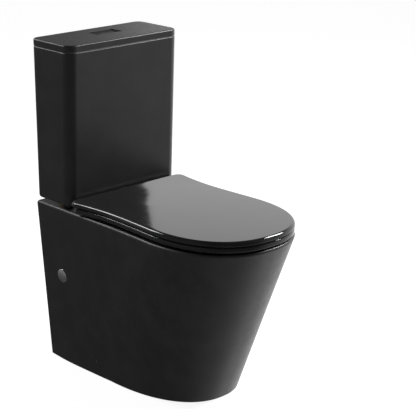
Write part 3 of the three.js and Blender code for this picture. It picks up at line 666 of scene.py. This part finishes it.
def make_cover():
    low, high, crown = COVER["bottom"], COVER["top"], COVER["crown"]
    shoulder = high - crown
    levels = rounded_ends(SEAT_OUTLINE, (low, shoulder), COVER["low_edge"], COVER["high_edge"], 5, 14)
    rings = [np.column_stack([outline, np.full(len(outline), z)]) for z, outline in levels]
    lid_rings = crowned_top(levels[-1][1], high, crown)
    fall = lid_rings[0][:, 2] - shoulder
    for ring in rings:
        share = np.clip((ring[:, 2] - low - 2) / (shoulder - low - 2), 0, 1)
        ring[:, 2] += fall * share
    cover = skin([*rings, *lid_rings[1:]])
    tools = [cut(prism(inset(SEAT_OUTLINE, 16), low - 1, low + 6),
                 block((-200, 200), (SEAT_BACK, 200), (low - 2, high)))]
    slot_z = (low - 1, HINGE["z"] + HINGE["knuckle"] + 0.6)
    for _, side in SIDES:
        tools += [block(mirrored(SLOT, side), (SEAT_BACK - 2, 185), slot_z),
                  hinge_bore(HINGE["pin"] + 0.4, mirrored((SLOT[0] - 10, SLOT[1] + 9), side)),
                  hinge_bore(4, mirrored((20, SLOT[0] - 9), side))]
    piece("cover_shell", cut(cover, *tools), "seat_cover")


def ring_knuckle(side):
    x = mirrored((HINGE["x"] + 9.3, HINGE["x"] + 18.3), side)
    web = [(167.2, 455.4), (183, 445.2), (183, 439), (172, 436), (160.6, 448.9)]
    rings = [np.array([(end, y_at(depth), z) for depth, z in web]) for end in x]
    return join(skin(rings), pin(HINGE["knuckle"], x, HINGE["depth"], HINGE["z"]))


def hole_level(z, grow):
    width, length = HOLE["half_width"] + grow, HOLE["half_length"] + grow
    return z, oval(HOLE["centre"], width, length, 2.2, 160)


def make_ring():
    low, high = RING["bottom"], RING["top"]
    body = loft(rounded_ends(inset(SEAT_OUTLINE, 1), (low, high), (3, 3), (5.5, 5), 6, 10))
    roll = HOLE["roll"]
    levels = [hole_level(low - 1, 3), hole_level(low + 3, 0), hole_level(high - roll[0], 0)]
    levels += [hole_level(high - roll[0] * math.cos(turn), roll[1] * (1 - math.cos(turn)))
               for turn in np.radians(np.arange(15, 91, 15))]
    levels.append(hole_level(high + 1, roll[1]))
    behind = block((-200, 200), (SEAT_BACK - 5, RING["back"]), (low - 1, high + 1))
    knuckles = [ring_knuckle(side) for _, side in SIDES]
    bored = (HINGE["x"] + 8, HINGE["x"] + 20)
    bores = [hinge_bore(HINGE["pin"] + GAP, mirrored(bored, side)) for _, side in SIDES]
    piece("ring_shell", cut(join(cut(body, loft(levels), behind), *knuckles), *bores), "seat_ring")


# ---------------------------------------------------------------- flush buttons and their springs
def tube(outer, bore, z, x, depth=FLUSH["depth"], count=64):
    return cut(post(outer, z, x, depth, count), post(bore, (z[0] - 1, z[1] + 1), x, depth, count))


def coil_spring(name, x):
    low, high = HOUSING_BOTTOM + 3 + GAP, BUTTON["top"] - 10 - GAP
    wire, radius, turns = 0.7, 6.5, 4
    angle = np.linspace(0, 2 * math.pi * turns, turns * 16 + 1)
    line = np.column_stack([x + radius * np.cos(angle), BUTTON["depth"] - radius * np.sin(angle),
                            np.linspace(low + wire, high - wire, len(angle))])
    spring = piece(name + "_spring", sweep(line, wire, 10, 1), name + "_button_spring")
    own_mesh(spring)


def make_button_works():
    for name, x in RODS.items():
        coil_spring(name, x)
        rod = join(post(6, (TOWER_TOP - 13, TOWER_TOP - 8), x, BUTTON["depth"]),
                   post(4.5, (TOWER_TOP - 9, ROD_BOTTOM - GAP), x, BUTTON["depth"]))
        piece(name + "_plunger", rod, name + "_flush_plunger")


# ---------------------------------------------------------------- flush valve
def make_flush_valve():
    flange, tail, bore = VALVE["flange"], VALVE["tail"], VALVE["bore"]
    lip = (TANK_FLOOR + WASHER + GAP, VALVE_SEAT)
    base = join(tube(flange, bore, lip, 0), tube(tail, bore, (400, TANK_FLOOR + 5), 0))
    piece("valve_base", base, "flush_valve_base")

    low, depth = VALVE_SEAT + GAP, FLUSH["depth"]
    inside = VALVE["column"] - 4
    cage = tube(VALVE["cage"], VALVE["cage"] - 4, (low, CAGE_TOP), 0)
    windows = []
    for angle in (0, 60, 120):
        a = math.radians(angle)
        out, side = np.array([math.cos(a), math.sin(a)]), np.array([-math.sin(a), math.cos(a)])
        middle = np.array([0, y_at(depth)])
        corners = [middle + u * out + v * side for u, v in ((-50, -10), (50, -10), (50, 10), (-50, 10))]
        windows.append(prism(np.array(corners), low + 12, low + 72))
    column = tube(VALVE["column"], inside, (CAGE_TOP - 1, TOWER_TOP - 30), 0)
    shoulder = tube(VALVE["cage"], inside, (CAGE_TOP - 3, CAGE_TOP + 3), 0)
    plan = rounded_rectangle(3, 34, depth - 24, depth + 22, 8, 8)
    head = cut(slab(plan, TOWER_TOP - 32, TOWER_TOP, 1, 1.5),
               post(17, (TOWER_TOP - 33, TOWER_TOP - 14), 0, depth),
               *[post(6.6, (TOWER_TOP - 22, TOWER_TOP + 1), x, depth - 4) for x in RODS.values()])
    piece("valve_tower", join(cut(cage, *windows), shoulder, column, head), "flush_valve_tower")

    bore = VALVE["tube"]
    seal = join(tube(VALVE["disc"], bore, (VALVE_SEAT + GAP, VALVE_SEAT + 6), 0),
                tube(bore + 3, bore, (VALVE_SEAT + 1, OVERFLOW_TOP), 0))
    piece("seal_tube", seal, "flush_seal_tube")
    washer_z = (TANK_FLOOR + GAP, TANK_FLOOR + WASHER)
    gasket_z = (WATER_WAY["top"] + GAP, TANK["bottom"] - GAP)
    piece("valve_washer", tube(40, tail + GAP, washer_z, 0), "flush_valve_washer")
    piece("gasket", tube(46, 37.3, gasket_z, 0), "coupling_gasket")


# ---------------------------------------------------------------- fill valve
def make_fill_valve():
    x, depth, top, bore = FLUSH["fill"], FLUSH["depth"], FILL["top"], FILL["bore"]
    spout = cut(block((x + 14, x + 30), (depth - 6, depth + 6), (top - 20, top - 8)),
                block((x + 18, x + 27), (depth - 3, depth + 3), (top - 21, top - 11)))
    ears = [block((x + out - 2, x + out + 2), (depth - 8, depth + 6), (top - 1, LEVER["z"] + 5))
            for out in (-6, 6)]
    head = loft(rounded_ends(circle(x, depth, FILL["head"]), (top - 22, top), (1, 1), (1.5, 1.5), 3, 4))
    body = join(
        tube(FILL["shank"], bore, (FILL["bottom"], TANK_FLOOR + 8), x),
        tube(FILL["flange"], bore, (TANK_FLOOR + WASHER + GAP, TANK_FLOOR + 9), x),
        tube(FILL["riser"], bore, (TANK_FLOOR + 8, top - 20), x), head, spout, *ears)
    pivot = pin(LEVER["pin"] + GAP, (x - 9, x + 9), depth, LEVER["z"])
    piece("fill_valve_body", cut(body, pivot), "fill_valve")
    washer = tube(16, FILL["shank"] + GAP, (TANK_FLOOR + GAP, TANK_FLOOR + WASHER), x)
    piece("fill_washer", washer, "fill_valve_washer")

    low, high, radius = FLOAT["bottom"], FLOAT["top"], FLOAT["radius"]
    outside = loft(rounded_ends(circle(x, depth, radius), (low, high), (1, 1), (2, 2), 3, 5))
    cup = cut(outside, tube(radius - 2.5, FILL["riser"] + 3.5, (low - 1, high - 3), x),
              post(FILL["riser"] + 1, (low - 1, high + 1), x, depth))
    link = block((x - 2, x + 2), [depth + out for out in FLOAT["link"]], (high - 1, LEVER["z"] - 5))
    piece("float", join(cup, link), "float_cup")

    wide, tall = LEVER["half_width"], LEVER["half_height"]
    arm_x = (x - wide, x + wide)
    back = depth - LEVER["back"]
    lever = join(pin(LEVER["pin"], (x - 8.5, x + 8.5), depth, LEVER["z"]),
                 block(arm_x, (back, depth + LEVER["front"]), (LEVER["z"] - tall, LEVER["z"] + tall)),
                 block(arm_x, (back, back + LEVER["weight"]), (LEVER["z"], LEVER["z"] + 3 * tall)))
    piece("lever", lever, "float_lever")


# ---------------------------------------------------------------- hinges and rubber feet
def make_hinge(name, side):
    x, depth, z, base = side * HINGE["x"], HINGE["depth"], HINGE["z"], PAN["top"] + GAP
    knuckle = HINGE["knuckle"]
    foot_x = mirrored((HINGE["x"] - 9, HINGE["x"] + 18.4), side)
    half_foot = (foot_x[1] - foot_x[0]) / 2
    plan = rounded_rectangle(sum(foot_x) / 2, half_foot, depth - 14, depth + 14, 5, 5)
    pillar = join(
        block((x - 9, x + 9), (depth - knuckle, depth + knuckle), (base + 1, z)),
        pin(knuckle, (x - 9, x + 9), depth, z), slab(plan, base, base + 1.6, 0.2, 0.5),
        post(HINGE["pin"], (388, base + 1), x, depth))
    pillar = cut(pillar, hinge_bore(HINGE["pin"] + GAP, (x - 10, x + 10)))
    pin_x = mirrored((SLOT[0] - 8, SLOT[1] + 8), side)
    damper_x = mirrored((22, SLOT[0] - 9.5), side)
    piece("pillar_" + name, pillar, "hinge_pillar_" + name)
    piece("pin_" + name, pin(HINGE["pin"], pin_x, depth, z), "hinge_pin_" + name)
    piece("damper_" + name, pin(3.7, damper_x, depth, z), "hinge_damper_" + name)
    plug = tube(HINGE_HOLE - GAP, HINGE["pin"] + GAP, (398, PAN["top"] - GAP), x, depth)
    piece("plug_" + name, plug, "hinge_plug_" + name)


def rubber_foot(name, node, x, depth, z, radius):
    piece(name, loft(rounded_ends(circle(x, depth, radius), z, (0.2, 0.2), (0.9, 0.9), 3, 5)), node)


def make_feet(name, side):
    under_ring = (PAN["top"] + GAP, RING["bottom"] - GAP)
    under_cover = (RING["top"] + GAP, COVER["bottom"] - GAP)
    rubber_foot("back_bumper_" + name, "ring_bumper_back_" + name, side * 150, 340, under_ring, 7)
    rubber_foot("front_bumper_" + name, "ring_bumper_front_" + name, side * 128, 560, under_ring, 7)
    rubber_foot("lid_bumper_" + name, "cover_bumper_" + name, side * 118, 570, under_cover, 6)
    rubber_foot("rest_pad_" + name, "tank_rest_pad_" + name, side * 148, 108,
                (PAN["top"] + GAP, TANK["bottom"] - GAP), 9)


# ---------------------------------------------------------------- pieces fixed to the flanks of the pan
def make_side_cap(name, side):
    depth, z, radius = SIDE_CAP["depth"], SIDE_CAP["z"], SIDE_CAP["radius"]
    edge, rise, skirt, inner = 0.9, 2.25, 14, 12
    dome = [(radius * math.cos(turn), edge + rise * math.sin(turn))
            for turn in np.radians(np.arange(0, 90, 6))]
    profile = [(0, -1), (inner, -1), (inner, -10), (skirt, -10), (skirt, GAP), (radius, GAP),
               *dome, (0, edge + rise)]
    lean = math.atan2(flank_width(depth, PAN["top"]) - flank_width(depth, 0), PAN["top"])
    x = side * flank_width(depth, z)
    cap = turned(profile, (x, depth, z), (side * math.cos(lean), 0, -math.sin(lean)), 96)
    piece("cap_" + name, cap, "side_cap_" + name)


def make_side_screw(name, side):
    depth, z = SIDE_SCREW["depth"], SIDE_SCREW["z"]
    x = flank_width(depth, z)
    head = pin(SIDE_SCREW["radius"] - 0.4, mirrored((x - 6, x - 1.5), side), depth, z)
    shank = pin(2.4, mirrored((x - 34, x - 5), side), depth, z)
    recess = mirrored((x - 3.2, x - 1), side)
    screw = cut(join(head, shank), block(recess, (depth - 2.4, depth + 2.4), (z - 0.5, z + 0.5)),
                block(recess, (depth - 0.5, depth + 0.5), (z - 2.4, z + 2.4)))
    piece("screw_" + name, screw, "side_screw_" + name)


# ---------------------------------------------------------------- camera, studio, floor
CAMERA = {"target": (99.25, -9.48, 435.28), "azimuth": -42.978, "elevation": 17.773,
          "distance": 3386.8, "lens": 118.41}
FLOOR_SIZE = 60.0


def make_camera():
    a, e = math.radians(CAMERA["azimuth"]), math.radians(CAMERA["elevation"])
    back = Vector((math.sin(a) * math.cos(e), -math.cos(a) * math.cos(e), math.sin(e)))
    data = bpy.data.cameras.new("camera")
    data.lens = CAMERA["lens"]
    data.sensor_width = 36
    camera = bpy.data.objects.new("camera", data)
    camera.location = (Vector(CAMERA["target"]) + back * CAMERA["distance"]) * MM
    camera.rotation_mode = "QUATERNION"
    camera.rotation_quaternion = (-back).to_track_quat("-Z", "Y")
    bpy.context.scene.collection.objects.link(camera)
    bpy.context.scene.camera = camera


def softbox(name, direction, distance, size, power):
    data = bpy.data.lights.new(name, "AREA")
    data.shape, data.size, data.size_y = "RECTANGLE", size[0], size[1]
    data.energy = power
    lamp = bpy.data.objects.new(name, data)
    way = Vector(direction).normalized()
    lamp.location = Vector((0, 0, 0.45)) + way * distance
    lamp.rotation_mode = "QUATERNION"
    lamp.rotation_quaternion = way.to_track_quat("Z", "Y")
    lamp.visible_camera = False
    bpy.context.scene.collection.objects.link(lamp)


def direction(azimuth, elevation=0.0):
    """Unit vector towards an azimuth, from +Y towards +X, and an elevation, in degrees."""
    a, e = math.radians(azimuth), math.radians(elevation)
    return (math.sin(a) * math.cos(e), math.cos(a) * math.cos(e), math.sin(e))


def make_world():
    world = bpy.data.worlds.new("studio")
    bpy.context.scene.world = world
    world.use_nodes = True
    n = Nodes(world.node_tree)
    way = n.add("ShaderNodeTexCoord").outputs["Generated"]
    height = n.dot(way, (0.0, 0.0, 1.0))
    def product(*factors):
        value = factors[0]
        for factor in factors[1:]:
            value = n.math("MULTIPLY", value, factor)
        return value

    # a bright wall starts at azimuth 40.1 and fades round to the front
    wall_edge = n.ramp(n.dot(way, direction(130.1)), -0.0015, 0.0015)
    towards_front = n.ramp(n.dot(way, direction(223.7)), -0.75, 0.65, 1.0, 0.0)
    low_band = n.ramp(height, 0.30, 0.70, 1.0, 0.08)
    right_wall = product(wall_edge, towards_front, low_band, 1.25)
    # a second wall stands on the left of a dark gap
    left_edge = n.ramp(n.dot(way, direction(124.0)), 0.0, -0.06)
    left_reach = n.ramp(n.dot(way, direction(8)), 0.55, 0.9)
    left_wall = product(left_edge, left_reach, low_band, n.ramp(height, 0.0, 0.2), 0.8)
    back_left = product(n.ramp(n.dot(way, direction(-45)), 0.1, 0.8), n.ramp(height, -0.5, -0.2), 0.11)
    # the pale floor in front of the toilet, seen in the nose of the pan
    ground = product(n.ramp(n.dot(way, direction(150)), -0.3, 0.2), n.ramp(height, -0.33, -0.47), 0.11)
    light = 0.055
    for part in (right_wall, left_wall, back_left, ground):
        light = n.math("ADD", part, light)
    studio = n.add("ShaderNodeBackground", {"Color": rgb(1.0), "Strength": light}).outputs[0]
    seen = n.add("ShaderNodeBackground", {"Color": rgb(1.0), "Strength": 0.97}).outputs[0]
    to_camera = n.add("ShaderNodeLightPath").outputs["Is Camera Ray"]
    both = n.add("ShaderNodeMixShader", {0: to_camera, 1: studio, 2: seen})
    n.add("ShaderNodeOutputWorld", {"Surface": both.outputs[0]})


def make_floor():
    half = FLOOR_SIZE / 2 / MM
    corners = [(-half, -half, 0), (half, -half, 0), (half, half, 0), (-half, half, 0)]
    floor = mesh_object(corners, [(0, 1, 2, 3)])
    floor.name = "floor"
    material = bpy.data.materials.new("floor")
    material.use_nodes = True
    n = Nodes(material.node_tree)
    place = n.add("ShaderNodeTexCoord").outputs["Object"]
    tone = n.mix(n.noise(place, 3.0), rgb(0.34), rgb(0.37))
    shade = n.add("ShaderNodeBsdfDiffuse", {"Color": tone}).outputs[0]
    glow = n.add("ShaderNodeEmission", {"Color": rgb(1.0), "Strength": 0.90}).outputs[0]
    both = n.add("ShaderNodeAddShader", {0: shade, 1: glow}).outputs[0]
    n.add("ShaderNodeOutputMaterial", {"Surface": both})
    floor.data.materials.append(material)
    floor.visible_glossy = False


make_camera()
make_world()
make_floor()
softbox("back_left_box", direction(-26, 38), 2.6, (0.7, 0.7), 18)
softbox("right_box", direction(114, 41), 2.6, (0.6, 0.8), 72)
bpy.context.scene.view_settings.view_transform = "Standard"

make_pan()
make_tank()
make_lid()
make_housing()
make_buttons()
make_button_works()
make_flush_valve()
make_fill_valve()
make_cover()
make_ring()
for name, side in SIDES:
    make_hinge(name, side)
    make_feet(name, side)
    make_side_cap(name, side)
    make_side_screw(name, side)

for node, thing in frame["nodes"].items():
    if thing.hide_render:
        continue
    thing.data.materials.clear()
    thing.data.materials.append(SLOT_MATERIALS[SLOT_OF[node]])

# the polished seat mirrors the studio and not the cistern behind it
for thing in bpy.context.scene.objects:
    if thing.type == "MESH" and min((thing.matrix_world @ Vector(c)).z for c in thing.bound_box) > 0.43:
        thing.visible_glossy = thing.name in ("cover_shell", "ring_shell")
